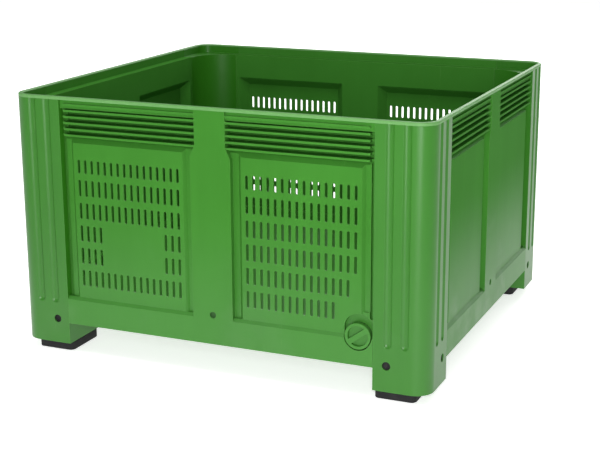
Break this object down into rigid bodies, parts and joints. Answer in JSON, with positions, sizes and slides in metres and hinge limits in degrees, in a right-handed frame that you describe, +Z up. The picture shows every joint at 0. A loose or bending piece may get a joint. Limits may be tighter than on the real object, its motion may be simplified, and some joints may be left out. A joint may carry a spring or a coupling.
{
  "type": "fruit bin",
  "caption": "Open fruit bin on padded legs: slotted front and rear walls, plain sides, fluted corner posts, a capping rim and a drain plug that unscrews.",
  "frame": {"origin": "on the ground, under the middle of the bin", "axes": "+Z up; -Y out of the front wall, which holds the drain; +X to the right as seen from the front"},
  "size_m": [1.2, 1.13, 0.725],
  "materials": {
    "bin_plastic": "moulded, semi-gloss green",
    "plug_plastic": "moulded, semi-gloss green",
    "wall_pin_plastic": "matt dark green",
    "leg_pin_plastic": "matt black",
    "pad_rubber": "matt black rubber",
    "seal_rubber": "matt black rubber"
  },
  "bodies": {
    "bin": {"base_deck": "bin_plastic", "sill_front": "bin_plastic", "sill_rear": "bin_plastic", "sill_left": "bin_plastic", "sill_right": "bin_plastic", "post_front_left": "bin_plastic", "post_front_right": "bin_plastic", "post_rear_left": "bin_plastic", "post_rear_right": "bin_plastic", "wall_front": "bin_plastic", "wall_rear": "bin_plastic", "wall_left": "bin_plastic", "wall_right": "bin_plastic", "top_rim": "bin_plastic", "pad_front_left": "pad_rubber", "pad_front_right": "pad_rubber", "pad_rear_left": "pad_rubber", "pad_rear_right": "pad_rubber", "leg_pins": "leg_pin_plastic", "wall_pins": "wall_pin_plastic", "drain_bush": "bin_plastic", "drain_gasket": "seal_rubber", "drain_nut": "bin_plastic"},
    "plug_seal": {"drain_seal": "seal_rubber"},
    "plug": {"drain_plug": "plug_plastic"}
  },
  "joints": [
    {"name": "plug_travel", "type": "slide", "parent": "bin", "child": "plug_seal", "axis": [0, -1, 0], "range_m": [0, 0.015]},
    {"name": "plug_turn", "type": "hinge", "parent": "plug_seal", "child": "plug", "pos_m": [0.409, -0.565, 0.164], "axis": [0, -1, 0], "range_deg": [0, 1080]}
  ],
  "couplings": [
    {"joint": "plug_travel", "follows": "plug_turn", "m_per_rad": 0.0007957}
  ]
}
